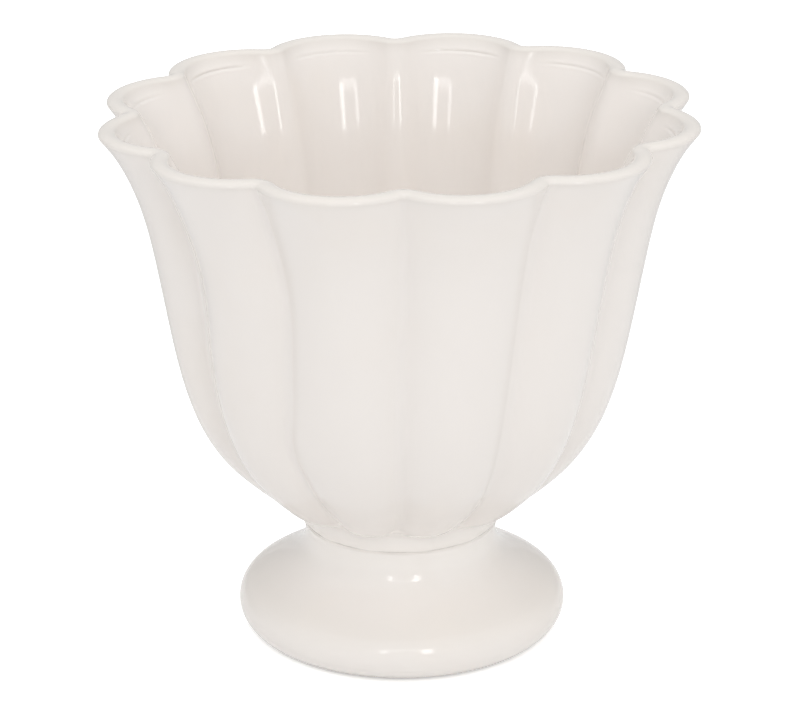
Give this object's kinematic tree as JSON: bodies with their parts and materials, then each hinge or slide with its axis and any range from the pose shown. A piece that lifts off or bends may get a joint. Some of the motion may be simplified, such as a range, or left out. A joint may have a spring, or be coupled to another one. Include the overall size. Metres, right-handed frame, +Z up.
{
  "type": "footed cachepot",
  "caption": "Glazed ceramic cachepot: a fluted, flaring bowl of rounded lobes on a round pedestal foot, for holding a potted plant.",
  "frame": {"origin": "on the table under the middle of the foot, in the plane of the ring that the pot stands on", "axes": "+Z up along the axis of the bowl and the foot; -Y is the front, a groove between two lobes"},
  "size_m": [0.2232, 0.2232, 0.21],
  "materials": {
    "bowl_glaze": "gloss cream-white glaze over fine earthenware",
    "foot_glaze": "gloss cream-white glaze, wiped dry on the ring it stands on",
    "slip": "fired casting slip, glazed over where its edge shows"
  },
  "bodies": {
    "root": {"bowl": "bowl_glaze", "foot": "foot_glaze", "slip_joint": "slip"}
  },
  "joints": []
}
